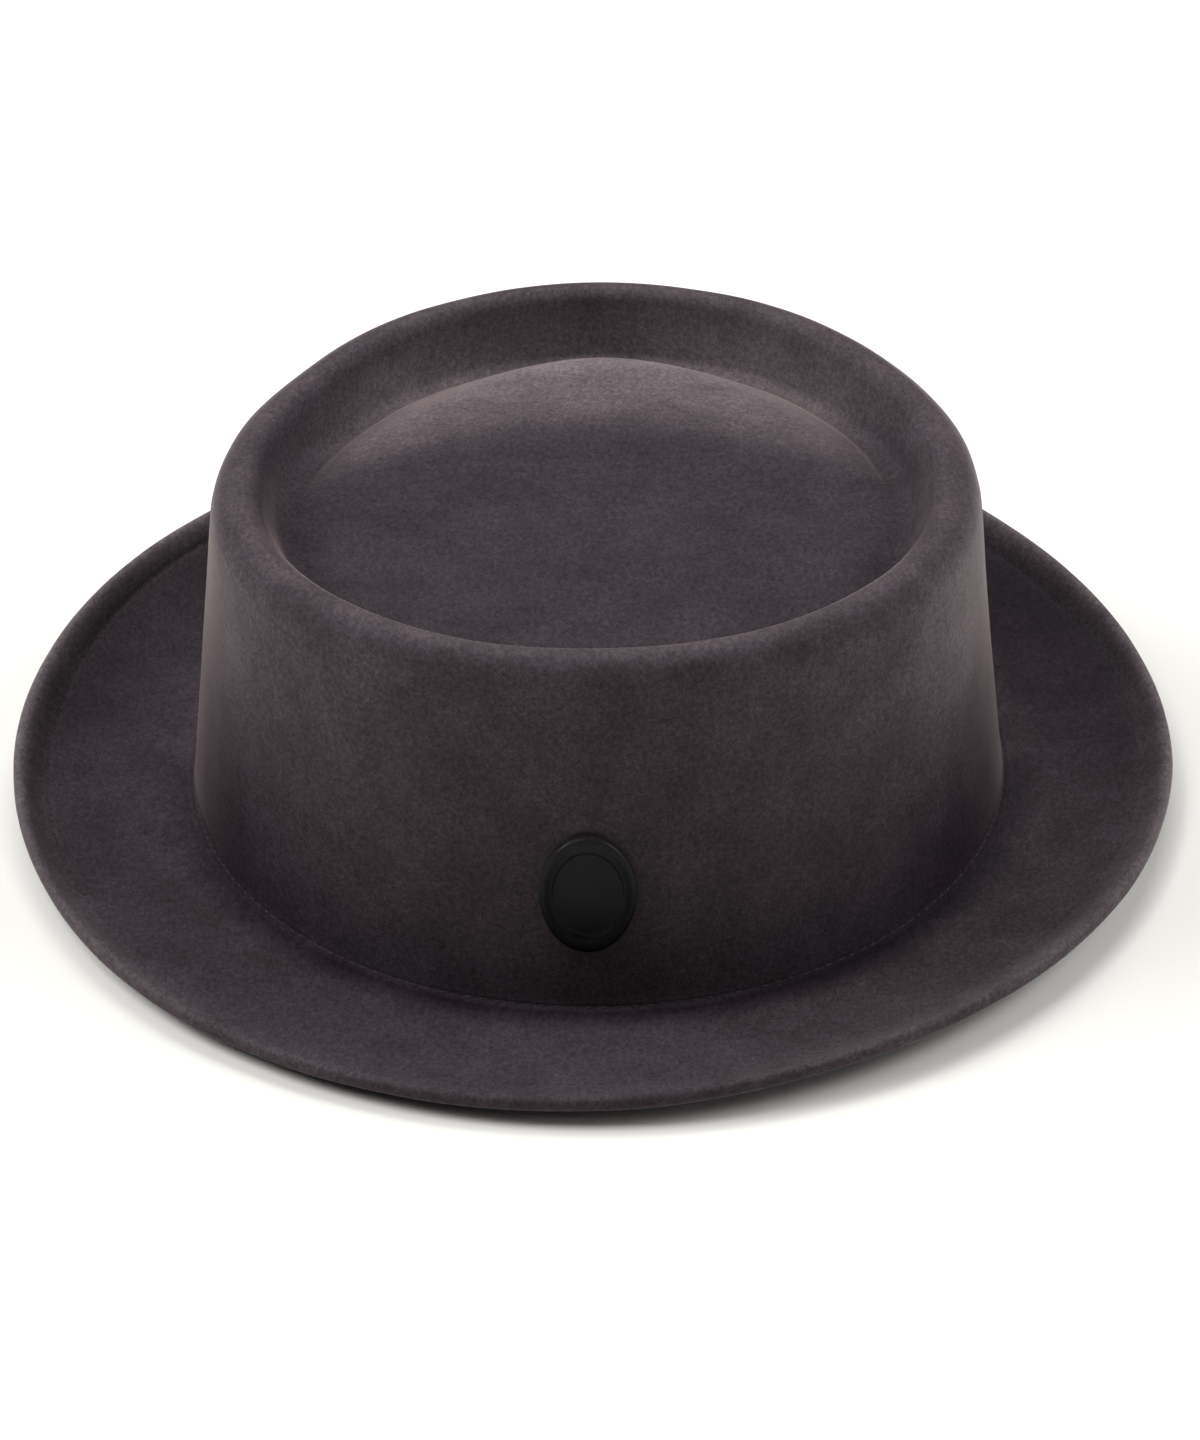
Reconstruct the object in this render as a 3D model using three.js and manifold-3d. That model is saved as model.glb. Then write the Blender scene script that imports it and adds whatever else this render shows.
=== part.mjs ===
// A pork pie hat of stiff wool felt: the blocked felt body, the leather sweatband inside it,
// and a small plain badge on the front of the crown with its clutch behind the felt.
// Lengths are in millimetres. +Z is up, the front of the hat faces -Y and +X is its right side
// as seen from the front. The hat stands on the flat ring round the foot of its crown.
import * as THREE from 'three';
import { mergeVertices } from 'three/addons/utils/BufferGeometryUtils.js';
import Module from 'manifold-3d';

const wasm = await Module();
wasm.setup();
const { degToRad, lerp } = THREE.MathUtils;
const { asin, atan, cos, exp, floor, log, max, sin, tan, PI } = Math;

// Sizes of the crown and the brim
const FELT = 2.8;
const FOOT_LENGTH = 210;
const FOOT_WIDTH = 180;
const CROWN_HEIGHT = 75.5;
const RIM_TILT = 1.2;
const CROWN_LEAN = 8.3;
const FLARE = 1.2;
const FLARE_HEIGHT = 10;
const FOOT_FILLET = 2.2;
const BRIM_WIDTH = 38;
const BRIM_CURL = 14;
const CURL_POWER = 1.7;
const REST_RING = 6.8;
const EDGE_ROUND = 1.1;

// The edge of the brim turns up from a crease and rolls over, by slopes added to the plain curl
const ROLL_WIDTH = 6.3;
const ROLL_SLOPE = 1.5;
const ROLL_OVER = 0.5;
const ROLL_CRISP = 0.12;
const ROLL_SOFT = 0.8;

// Sizes of the rim roll and the groove inside it
const RIM_OUTER = 6.5;
const RIM_INNER = 5.2;
const INNER_WALL_TILT = degToRad(79);
const GROOVE_BELOW_TIP = 5.5;
const GROOVE_RADIUS = 5.4;

// Sizes of the sunken tip: it dips to the front, and falls away to the back behind a bowed line
const SHOULDER_WIDTH = 20;
const SHOULDER_POWER = 2.4;
const TIP_DROP = 8;
const TIP_DIP = 0.03;
const TIP_FALL = 0.11;
const TIP_FALL_START = 38;
const TIP_FALL_BOW = 0.0083;
const TIP_FALL_EASE = 4;

// Sizes of the sweatband
const LEATHER = 1.2;
const BAND_TOP = 32;
const BAND_FOOT_TILT = degToRad(45);

// Sizes of the badge, its post and its clutch
const BADGE_WIDTH = 20;
const BADGE_HEIGHT = 25;
const BADGE_THICK = 2;
const BADGE_BEVEL = 0.8;
const BADGE_BORDER = 1.6;
const BADGE_RECESS = 0.5;
const POST_SHARE = 0.375;
const POST_RADIUS = 0.6;
const POST_SPARE = 0.8;
const CLUTCH_RADIUS = 4.5;
const CLUTCH_THICK = 1.8;
const CLUTCH_CLEAR = 1;

// Clearance between pieces that touch
const GAP = 0.3;

// Fineness of the faceted solids
const STATIONS = 64;
const ARC_STEPS = 3;
const WALL_STEPS = 5;
const WALL_CROWDING = 1.6;
const CURL_SHARES = [0, 0.4, 0.75];
const ROLL_SHARES = [0, 0.25, 0.6, 1];
const SHOULDER_STEPS = 4;
const TIP_SHARES = [0.25, 0.5, 0.72, 0.88];
const BADGE_SIDES = 24;
const POST_SIDES = 12;

// How the hat differs on its way round: in each column a number every 30 degrees from the front
// over the right side to the back and home again. Each is a share of a size above: lean of
// CROWN_LEAN, brim of BRIM_WIDTH, curl of BRIM_CURL, roll of ROLL_SLOPE, band of ROLL_WIDTH,
// inner of RIM_INNER, steep of INNER_WALL_TILT, hollow of GROOVE_RADIUS, deep of GROOVE_BELOW_TIP
// and shoulder of SHOULDER_WIDTH
const ROUND_TABLE = {
  lean: [1, 0.79, 0.68, 0.95, 1.04, 0.71, 0.48, 0.78, 1.2, 0.99, 0.68, 0.79],
  brim: [1.01, 0.963, 0.943, 0.96, 0.955, 0.94, 0.94, 0.973, 0.98, 1.01, 1.015, 1.02],
  curl: [0.24, 0.42, 0.44, 0.44, 0.7, 1, 0.96, 0.92, 0.86, 0.6, 0.31, 0.19],
  roll: [0, 0, 0.2, 0.45, 0.9, 1, 1, 1, 1, 0.75, 0.25, 0],
  band: [1, 1, 1, 1, 0.85, 0.8, 0.75, 0.68, 0.7, 1, 1, 1],
  inner: [1, 1, 1, 1, 0.85, 0.7, 0.7, 0.7, 0.85, 1, 1, 1],
  steep: [0.9, 0.85, 0.8, 0.8, 0.9, 1, 1, 1, 0.9, 0.8, 0.8, 0.85],
  hollow: [1, 1, 1, 1, 0.63, 0.45, 0.4, 0.45, 0.63, 1, 1, 1],
  deep: [0.1, 0.1, 0.05, 0.05, 0.45, 0.9, 1, 0.9, 0.45, 0.05, 0.05, 0.1],
  shoulder: [0.15, 0.15, 0.15, 0.2, 0.7, 1, 0.75, 1, 0.7, 0.2, 0.15, 0.15],
};

// A smooth closed curve through one column of the table
function share(column, angle) {
  const shares = ROUND_TABLE[column];
  const spot = (angle / (2 * PI)) * shares.length + shares.length;
  const t = spot - floor(spot);
  const [a, b, c, d] = [-1, 0, 1, 2].map((k) => shares[(floor(spot) + k) % shares.length]);
  return b + 0.5 * t * (c - a + t * (2 * a - 5 * b + 4 * c - d + t * (3 * b - a - 3 * c + d)));
}

// A place at a distance out from the oval of the crown's foot, at an angle from the front
function place(angle, out, z) {
  const normal = new THREE.Vector2(sin(angle) / FOOT_WIDTH, -cos(angle) / FOOT_LENGTH).normalize();
  const x = (FOOT_WIDTH / 2) * sin(angle) + normal.x * out;
  const y = (-FOOT_LENGTH / 2) * cos(angle) + normal.y * out;
  return new THREE.Vector3(x, y, z);
}

// A row is a point of the felt's upper face in the upright plane at one angle: its distance out,
// its height, and the tilt of the face's normal from straight up, positive where it looks outward
const row = (out, z, tilt) => ({ out, z, tilt });

// The same row moved down through the face, or up from it by a negative depth
function sunk(depth) {
  return ({ out, z, tilt }) => row(out - depth * sin(tilt), z - depth * cos(tilt), tilt);
}

// Rows along an arc, from one tilt to another; a negative radius makes it hollow
function arc(out, z, radius, from, to, steps = ARC_STEPS) {
  return Array.from({ length: steps + 1 }, (_, k) => {
    const tilt = lerp(from, to, k / steps);
    return row(out + radius * sin(tilt), z + radius * cos(tilt), tilt);
  });
}

// The tip's upper face over the whole oval
function tipHeight({ x, y }) {
  const behind = y - TIP_FALL_START + TIP_FALL_BOW * x * x;
  const fall = TIP_FALL * TIP_FALL_EASE * log(1 + exp(behind / TIP_FALL_EASE));
  return CROWN_HEIGHT - TIP_DROP + TIP_DIP * (y - TIP_FALL_START) - fall;
}

const crest = (angle) => CROWN_HEIGHT + RIM_TILT * cos(angle);
const lean = (angle) => CROWN_LEAN * share('lean', angle);

// The crown's outer wall, which flares out toward its foot
const wallTop = (angle) => crest(angle) - RIM_OUTER;
const wallSlope = (angle) => (lean(angle) - FLARE) / (wallTop(angle) - FELT);
const footTilt = (angle) => PI / 2 - atan(FLARE / FLARE_HEIGHT + wallSlope(angle));
const wallFoot = (angle) => FELT + FOOT_FILLET * (1 - cos(footTilt(angle)));
function wallRow(angle, z) {
  const rise = z - wallFoot(angle);
  const left = exp(-rise / FLARE_HEIGHT);
  const out = -FLARE * (1 - left) - wallSlope(angle) * rise;
  return row(out, z, PI / 2 - atan((FLARE / FLARE_HEIGHT) * left + wallSlope(angle)));
}

// The wall between two heights, from the top down, with closer rows in the flare
function wallRows(angle, top, steps) {
  return Array.from({ length: steps }, (_, k) => {
    const climb = (1 - k / (steps - 1)) ** WALL_CROWDING;
    return wallRow(angle, lerp(wallFoot(angle), top, climb));
  });
}

// The hollow bend between the wall and the brim, from the wall's own tilt to another
function filletRows(angle, to) {
  const out = FOOT_FILLET * sin(footTilt(angle));
  return arc(out, FELT + FOOT_FILLET, -FOOT_FILLET, footTilt(angle), to).slice(1);
}

// The roll at the brim's edge adds a height and a slope to the plain curl, from its crease out
const rollBand = (angle) => ROLL_WIDTH * share('band', angle);
function roll(angle, beyond) {
  const band = rollBand(angle);
  const part = share('roll', angle);
  const crease = lerp(ROLL_SOFT, ROLL_CRISP, part ** 2);
  const [t, steepest] = [max(beyond / band, 0), ROLL_SLOPE * part];
  if (t < crease) {
    return { height: (steepest * band * t * t) / (2 * crease), slope: (steepest * t) / crease };
  }
  const fall = ((1 + ROLL_OVER) * (t - crease)) / (1 - crease);
  const height = steepest * band * (crease / 2 + (t - crease) * (1 - fall / 2));
  return { height, slope: steepest * (1 - fall) };
}

// The brim: a flat ring that the hat stands on, then the curl up to the rolled and rounded edge
function brimRows(angle) {
  const start = FOOT_FILLET + REST_RING;
  const reach = BRIM_WIDTH * share('brim', angle) - EDGE_ROUND - start;
  const crease = reach - rollBand(angle);
  const rise = BRIM_CURL * share('curl', angle) - roll(angle, rollBand(angle)).height;
  const spots = [
    ...CURL_SHARES.map((part) => part * crease),
    ...ROLL_SHARES.map((part) => lerp(crease, reach, part)),
  ];
  return spots.map((spot) => {
    const { height, slope } = roll(angle, spot - crease);
    const u = spot / reach;
    const plain = (CURL_POWER * rise * u ** (CURL_POWER - 1)) / reach;
    return row(start + spot, FELT + rise * u ** CURL_POWER + height, -atan(plain + slope));
  });
}

// The two corners of the brim's edge, past its last row
function edgeRows({ out, z, tilt }) {
  const beyond = row(out + EDGE_ROUND * cos(tilt), z - EDGE_ROUND * sin(tilt), tilt);
  return [sunk(EDGE_ROUND)(beyond), sunk(FELT - EDGE_ROUND)(beyond)];
}

// The rim roll, from the groove's inner wall over the crest to the outer wall
const innerTilt = (angle) => INNER_WALL_TILT * share('steep', angle);
const innerRadius = (angle) => RIM_INNER * share('inner', angle);
function rimRows(angle) {
  const out = -lean(angle) - RIM_OUTER;
  const radius = innerRadius(angle);
  const inner = arc(out, crest(angle) - radius, radius, -innerTilt(angle), 0);
  const outer = arc(out, crest(angle) - RIM_OUTER, RIM_OUTER, 0, PI / 2);
  return [...inner, ...outer.slice(1, -1)];
}

// The round bottom of the groove and the shoulder that rises from it to the tip
function grooveRows(angle) {
  const tipAt = (spot) => tipHeight(place(angle, spot, 0));
  const tilt = innerTilt(angle);
  const radius = GROOVE_RADIUS * share('hollow', angle);
  const turn = innerRadius(angle) + radius;
  const start = -lean(angle) - RIM_OUTER - turn * sin(tilt);
  const bottom = tipAt(start) - GROOVE_BELOW_TIP * share('deep', angle);
  const drop = crest(angle) - bottom - turn * (1 - cos(tilt));
  const out = start - drop / tan(tilt);
  const width = SHOULDER_WIDTH * share('shoulder', angle);
  const steep = atan((SHOULDER_POWER * (tipAt(out - width) - bottom)) / width);
  const groove = arc(out, bottom + radius, -radius, steep, -tilt, ARC_STEPS + 1);
  const foot = groove[0];
  const shoulder = Array.from({ length: SHOULDER_STEPS }, (_, k) => {
    const left = k / SHOULDER_STEPS;
    const spot = foot.out - width * (1 - left);
    const rise = tipAt(spot) - foot.z;
    const slope = (SHOULDER_POWER * rise * left ** (SHOULDER_POWER - 1)) / width;
    return row(spot, foot.z + rise * (1 - left ** SHOULDER_POWER), atan(slope));
  });
  return [...shoulder, ...groove];
}

// One upright section of the felt's upper face, from the tip's shoulder out to the brim's edge
function upperFace(angle) {
  const wall = [...wallRows(angle, wallTop(angle), WALL_STEPS), ...filletRows(angle, 0)];
  return [...grooveRows(angle), ...rimRows(angle), ...wall, ...brimRows(angle)];
}

// Rings of points round the hat, one for each row of a section
function ringsOf(section) {
  const angles = Array.from({ length: STATIONS }, (_, k) => (2 * PI * k) / STATIONS);
  const sections = angles.map((angle) => section(angle).map(({ out, z }) => place(angle, out, z)));
  return sections[0].map((_, k) => sections.map((points) => points[k]));
}

// The faces between neighbouring rings, closed by a point at both ends or by a last pair of rings
function skin(rings, ends = null) {
  const around = rings[0].length;
  const points = ends ? [...rings.flat(), ...ends] : rings.flat();
  const faces = [];
  const bands = ends ? rings.length - 1 : rings.length;
  for (let k = 0; k < bands; k += 1) {
    for (let j = 0; j < around; j += 1) {
      const [near, far] = [k * around, ((k + 1) % rings.length) * around];
      const next = (j + 1) % around;
      faces.push([near + j, far + j, far + next], [near + j, far + next, near + next]);
    }
  }
  for (let j = 0; ends && j < around; j += 1) {
    const next = (j + 1) % around;
    const last = (rings.length - 1) * around;
    faces.push([points.length - 2, j, next], [points.length - 1, last + next, last + j]);
  }
  const geometry = new THREE.BufferGeometry();
  const numbers = points.flatMap((point) => point.toArray());
  geometry.setAttribute('position', new THREE.Float32BufferAttribute(numbers, 3));
  geometry.setIndex(faces.flat());
  return geometry;
}

// A closed mesh as a body that can be joined and cut, and such a body as a mesh
function solid(geometry) {
  return new wasm.Manifold(new wasm.Mesh({
    numProp: 3,
    vertProperties: new Float32Array(geometry.attributes.position.array),
    triVerts: new Uint32Array(geometry.index.array),
  }));
}
function geometryOf(body) {
  const { vertProperties, triVerts } = body.getMesh();
  const geometry = new THREE.BufferGeometry();
  geometry.setAttribute('position', new THREE.BufferAttribute(vertProperties, 3));
  return geometry.setIndex(new THREE.BufferAttribute(triVerts, 1));
}

// The post is high enough for its clutch to clear the sweatband, in the upper part of the badge
const postHeight = BAND_TOP + CLUTCH_CLEAR + CLUTCH_RADIUS;
const badgeCentre = postHeight - POST_SHARE * BADGE_HEIGHT;

// A round bar at the post's height, square to the wall, between two depths under its outer face
function bar(radius, from, to) {
  const [start, end] = [from, to].map((depth) => {
    const { out, z } = sunk(depth)(wallRow(0, postHeight));
    return place(0, out, z);
  });
  const axis = end.clone().sub(start);
  const cylinder = new THREE.CylinderGeometry(radius, radius, axis.length(), POST_SIDES);
  cylinder.deleteAttribute('normal');
  cylinder.deleteAttribute('uv');
  const upright = THREE.Object3D.DEFAULT_UP;
  cylinder.applyQuaternion(new THREE.Quaternion().setFromUnitVectors(upright, axis.normalize()));
  const middle = start.add(end).multiplyScalar(0.5);
  return solid(mergeVertices(cylinder.translate(...middle.toArray())));
}

// The clutch lies behind the felt, as far in as its flat face needs where the wall curves
const clutchSeat = FELT + GAP + (CLUTCH_RADIUS ** 2 * FOOT_LENGTH) / FOOT_WIDTH ** 2;
const clutchBack = clutchSeat + CLUTCH_THICK;
const postBore = bar(POST_RADIUS + GAP, -BADGE_THICK, clutchBack + POST_SPARE);

// The felt body: the upper face, the edge, and the same face sunk by the felt's thickness
function feltBody() {
  const section = (angle) => {
    const face = upperFace(angle);
    const edge = edgeRows(face[face.length - 1]);
    return [...face, ...edge, ...face.map(sunk(FELT)).reverse()];
  };
  const rings = ringsOf(section);
  const tipRings = (ring, depth) => TIP_SHARES.map((part) => ring.map((point) => {
    const spot = point.clone().multiplyScalar(part);
    return spot.setZ(tipHeight(spot) - depth);
  }));
  const upper = tipRings(rings[0], 0);
  const under = tipRings(rings[rings.length - 1], FELT).reverse();
  const middle = tipHeight(new THREE.Vector3());
  const ends = [middle, middle - FELT].map((z) => new THREE.Vector3(0, 0, z));
  return geometryOf(solid(skin([...upper, ...rings, ...under], ends)).subtract(postBore));
}

// The sweatband lies inside the wall from its foot up, a clearance away from the felt
function sweatband() {
  return skin(ringsOf((angle) => {
    const face = [...wallRows(angle, BAND_TOP, WALL_STEPS), ...filletRows(angle, BAND_FOOT_TILT)];
    return [...face.map(sunk(FELT + GAP)), ...face.map(sunk(FELT + GAP + LEATHER)).reverse()];
  }));
}

// The badge: an oval plate that follows the wall, with a raised border, fused to its post
function badge() {
  const half = BADGE_WIDTH / 2;
  const field = BADGE_THICK - BADGE_RECESS;
  const ring = (inset, height) => Array.from({ length: BADGE_SIDES }, (_, k) => {
    const turn = (2 * PI * k) / BADGE_SIDES;
    const part = 1 - inset / half;
    const angle = asin((BADGE_WIDTH * part * cos(turn)) / FOOT_WIDTH);
    const rise = (BADGE_HEIGHT / 2) * part * sin(turn);
    const { out, z } = sunk(-GAP - height)(wallRow(angle, badgeCentre + rise));
    return place(angle, out, z);
  });
  const rings = [
    ring(BADGE_BEVEL + BADGE_BORDER + BADGE_RECESS, field),
    ring(BADGE_BEVEL + BADGE_BORDER, BADGE_THICK),
    ring(BADGE_BEVEL, BADGE_THICK),
    ring(0, BADGE_THICK - BADGE_BEVEL),
    ring(0, 0),
  ];
  const plate = solid(skin(rings, [ring(half, field)[0], ring(half, 0)[0]]));
  return geometryOf(plate.add(bar(POST_RADIUS, -GAP - field / 2, clutchBack + POST_SPARE)));
}

const clutch = () => geometryOf(bar(CLUTCH_RADIUS, clutchSeat, clutchBack).subtract(postBore));

// The finishes of the four pieces
const felt = { color: 0x47403f, roughness: 0.95, metalness: 0 };
const leather = { color: 0x1d1a1a, roughness: 0.55, metalness: 0 };
const enamel = { color: 0x0b0b0c, roughness: 0.25, metalness: 0.6 };
const steel = { color: 0x9a9a98, roughness: 0.35, metalness: 1 };

const hat = new THREE.Group();
function addPiece(name, geometry, finish) {
  const mesh = new THREE.Mesh(geometry, new THREE.MeshStandardMaterial(finish));
  mesh.name = name;
  hat.add(mesh);
}
addPiece('felt_body', feltBody(), felt);
addPiece('sweatband', sweatband(), leather);
addPiece('pin_badge', badge(), enamel);
addPiece('pin_clutch', clutch(), steel);

// The origin lies on the table under the middle of the brim
const box = new THREE.Box3().setFromObject(hat);
const centre = box.getCenter(new THREE.Vector3());
hat.position.set(-centre.x, -centre.y, -box.min.z);

export default hat;
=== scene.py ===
# %% [markdown]
# # A pork pie hat of dark wool felt
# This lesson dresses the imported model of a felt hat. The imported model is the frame: it gives the
# sizes, the pieces and their places, and nothing here moves it. Each step below makes one piece
# or one finish finer than the frame has it, and then shows it in the place of the frame's piece.
# Blender's unit is the metre. The sizes of the hat are written in millimetres, as a hatter would
# say them, and turn into metres where a mesh is made.

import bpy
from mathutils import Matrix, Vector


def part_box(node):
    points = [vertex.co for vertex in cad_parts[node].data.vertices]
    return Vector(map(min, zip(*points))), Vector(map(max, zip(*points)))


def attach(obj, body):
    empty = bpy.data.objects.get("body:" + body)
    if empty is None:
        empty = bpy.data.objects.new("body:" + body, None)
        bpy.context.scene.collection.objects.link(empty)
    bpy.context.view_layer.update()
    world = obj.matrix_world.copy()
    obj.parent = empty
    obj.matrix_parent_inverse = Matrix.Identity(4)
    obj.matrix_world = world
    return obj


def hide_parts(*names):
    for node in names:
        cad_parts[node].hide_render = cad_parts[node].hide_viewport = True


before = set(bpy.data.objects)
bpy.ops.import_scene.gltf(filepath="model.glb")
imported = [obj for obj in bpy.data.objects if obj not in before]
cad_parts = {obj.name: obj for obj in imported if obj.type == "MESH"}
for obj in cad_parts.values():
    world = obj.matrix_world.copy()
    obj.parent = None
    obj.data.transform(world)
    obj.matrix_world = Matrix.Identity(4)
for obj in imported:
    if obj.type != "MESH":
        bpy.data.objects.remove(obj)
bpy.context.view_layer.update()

# %% Tools from Python and Blender
import math

import bmesh
import bpy
import numpy as np
from mathutils import Matrix, Vector

MM = 0.001
DEG = math.pi / 180
QUARTER = math.pi / 2

# %% [markdown]
# ## The shape of the felt
# A hatter presses one piece of felt over a wooden block, so the whole body follows one upright
# section that changes a little on its way round the head. It could be carved out of a sphere by
# hand, but then the frame and the looks would drift apart. So the section is written down as
# rows: a distance out from the oval of the crown's foot, a height, and the tilt of the surface.

# %% Sizes of the crown and the brim, in millimetres
FELT = 2.8
FOOT_LENGTH = 210
FOOT_WIDTH = 180
CROWN_HEIGHT = 75.5
RIM_TILT = 1.2
CROWN_LEAN = 8.3
FLARE = 1.2
FLARE_HEIGHT = 10
FOOT_FILLET = 2.2
WALL_CROWDING = 1.3
BRIM_WIDTH = 38
BRIM_CURL = 14
CURL_POWER = 1.7
REST_RING = 6.8
EDGE_ROUND = 1.1

# %% Sizes of the roll at the brim's edge
ROLL_WIDTH = 6.3
ROLL_SLOPE = 1.5
ROLL_OVER = 0.5
ROLL_CRISP = 0.12
ROLL_SOFT = 0.8

# %% Sizes of the rim roll, the groove and the sunken tip
RIM_OUTER = 6.5
RIM_INNER = 5.2
INNER_WALL_TILT = 79 * DEG
GROOVE_BELOW_TIP = 5.5
GROOVE_RADIUS = 5.4
SHOULDER_WIDTH = 20
SHOULDER_POWER = 2.4
TIP_DROP = 8
TIP_DIP = 0.03
TIP_FALL = 0.11
TIP_FALL_START = 38
TIP_FALL_BOW = 0.0083
TIP_FALL_EASE = 4

# %% [markdown]
# No two sides of a blocked hat are alike. Each column of the table holds a number every 30 degrees
# from the front over the right side to the back and home again, and each is a share of a size. The
# frame has the same columns, except for the flare, which is one number there: on the real hat the
# foot of the crown spreads less at the sides than at the front and back.

# %% How the hat differs on its way round
ROUND_TABLE = {
    "lean": [1, 0.79, 0.68, 0.95, 1.04, 0.71, 0.48, 0.78, 1.2, 0.99, 0.68, 0.79],
    "flare": [1, 0.95, 0.6, 0.4, 0.6, 0.95, 1, 0.95, 0.5, 0, 0.5, 0.95],
    "brim": [1.01, 0.963, 0.943, 0.96, 0.955, 0.94, 0.94, 0.973, 0.98, 1.01, 1.015, 1.02],
    "curl": [0.24, 0.42, 0.44, 0.44, 0.7, 1, 0.96, 0.92, 0.86, 0.6, 0.31, 0.19],
    "roll": [0, 0, 0.2, 0.45, 0.9, 1, 1, 1, 1, 0.75, 0.25, 0],
    "band": [1, 1, 1, 1, 0.85, 0.8, 0.75, 0.68, 0.7, 1, 1, 1],
    "inner": [1, 1, 1, 1, 0.85, 0.7, 0.7, 0.7, 0.85, 1, 1, 1],
    "steep": [0.9, 0.85, 0.8, 0.8, 0.9, 1, 1, 1, 0.9, 0.8, 0.8, 0.85],
    "hollow": [1, 1, 1, 1, 0.63, 0.45, 0.4, 0.45, 0.63, 1, 1, 1],
    "deep": [0.1, 0.1, 0.05, 0.05, 0.45, 0.9, 1, 0.9, 0.45, 0.05, 0.05, 0.1],
    "shoulder": [0.15, 0.15, 0.15, 0.2, 0.7, 1, 0.75, 1, 0.7, 0.2, 0.15, 0.15],
}


def share(column, angle):
    """A smooth closed curve through one column of the table"""
    values = np.array(ROUND_TABLE[column])
    spot = np.asarray(angle) / (2 * math.pi) * len(values)
    first = np.floor(spot).astype(int)
    t = spot - first
    a, b, c, d = (values[(first + k) % len(values)] for k in (-1, 0, 1, 2))
    return b + 0.5 * t * (c - a + t * (2 * a - 5 * b + 4 * c - d + t * (3 * b - a - 3 * c + d)))


# %% Rows and where they lie
def place(angle, out, z):
    """A point at a distance out from the oval of the crown's foot, at an angle from the front"""
    across, along = np.sin(angle) / FOOT_WIDTH, -np.cos(angle) / FOOT_LENGTH
    length = np.hypot(across, along)
    x = FOOT_WIDTH / 2 * np.sin(angle) + across / length * out
    y = -FOOT_LENGTH / 2 * np.cos(angle) + along / length * out
    return np.stack(np.broadcast_arrays(x, y, z), axis=-1)


def row(out, z, tilt):
    """A place on the section, and the tilt of its surface from straight up to outward"""
    return np.stack(np.broadcast_arrays(out, z, tilt), axis=-1)


def sunk(rows, depth):
    """The same rows, moved through the surface by a depth"""
    out, z, tilt = np.moveaxis(rows, -1, 0)
    return row(out - depth * np.sin(tilt), z - depth * np.cos(tilt), tilt)


def arc(out, z, radius, start, end, steps):
    """Rows along an arc from one tilt to another; a negative radius makes it hollow"""
    tilt = start + (end - start) * np.linspace(0, 1, steps + 1)[:, None]
    return row(out + radius * np.sin(tilt), z + radius * np.cos(tilt), tilt)


# %% The crown's outer wall, which flares out toward its foot
def crest(angle):
    return CROWN_HEIGHT + RIM_TILT * np.cos(angle)


def lean(angle):
    return CROWN_LEAN * share("lean", angle)


def wall_top(angle):
    return crest(angle) - RIM_OUTER


def wall_slope(angle):
    return (lean(angle) - FLARE) / (wall_top(angle) - FELT)


def flare(angle):
    return FLARE * share("flare", angle)


def foot_tilt(angle):
    return QUARTER - np.arctan(flare(angle) / FLARE_HEIGHT + wall_slope(angle))


def wall_foot(angle):
    return FELT + FOOT_FILLET * (1 - np.cos(foot_tilt(angle)))


def wall_row(angle, z):
    rise = z - wall_foot(angle)
    left = np.exp(-rise / FLARE_HEIGHT)
    out = flare(angle) * left - FLARE - wall_slope(angle) * rise
    return row(out, z, QUARTER - np.arctan(flare(angle) / FLARE_HEIGHT * left + wall_slope(angle)))


def wall_rows(angle, top, steps):
    """The wall from a height down to its foot, with its rows closer together there"""
    climb = np.linspace(1, 0, steps)[:, None] ** WALL_CROWDING
    foot = wall_foot(angle)
    return wall_row(angle, foot + climb * (top - foot))


def fillet_rows(angle, to, steps):
    """The hollow bend between the wall and the brim"""
    out = FOOT_FILLET * np.sin(foot_tilt(angle)) + flare(angle) - FLARE
    return arc(out, FELT + FOOT_FILLET, -FOOT_FILLET, foot_tilt(angle), to, steps)[1:]


# %% The sunken tip: it dips to the front and falls away to the back behind a bowed line
def tip_height(x, y):
    behind = y - TIP_FALL_START + TIP_FALL_BOW * x ** 2
    fall = TIP_FALL * TIP_FALL_EASE * np.logaddexp(0, behind / TIP_FALL_EASE)
    return CROWN_HEIGHT - TIP_DROP + TIP_DIP * (y - TIP_FALL_START) - fall


# %% The rim roll and the groove inside it
def inner_tilt(angle):
    return INNER_WALL_TILT * share("steep", angle)


def inner_radius(angle):
    return RIM_INNER * share("inner", angle)


def rim_rows(angle, steps):
    out = -lean(angle) - RIM_OUTER
    radius = inner_radius(angle)
    inner = arc(out, crest(angle) - radius, radius, -inner_tilt(angle), 0, steps)
    outer = arc(out, crest(angle) - RIM_OUTER, RIM_OUTER, 0, QUARTER, steps)
    return np.concatenate([inner, outer[1:-1]])


def tip_at(angle, spot):
    x, y, _ = np.moveaxis(place(angle, spot, 0), -1, 0)
    return tip_height(x, y)


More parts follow.
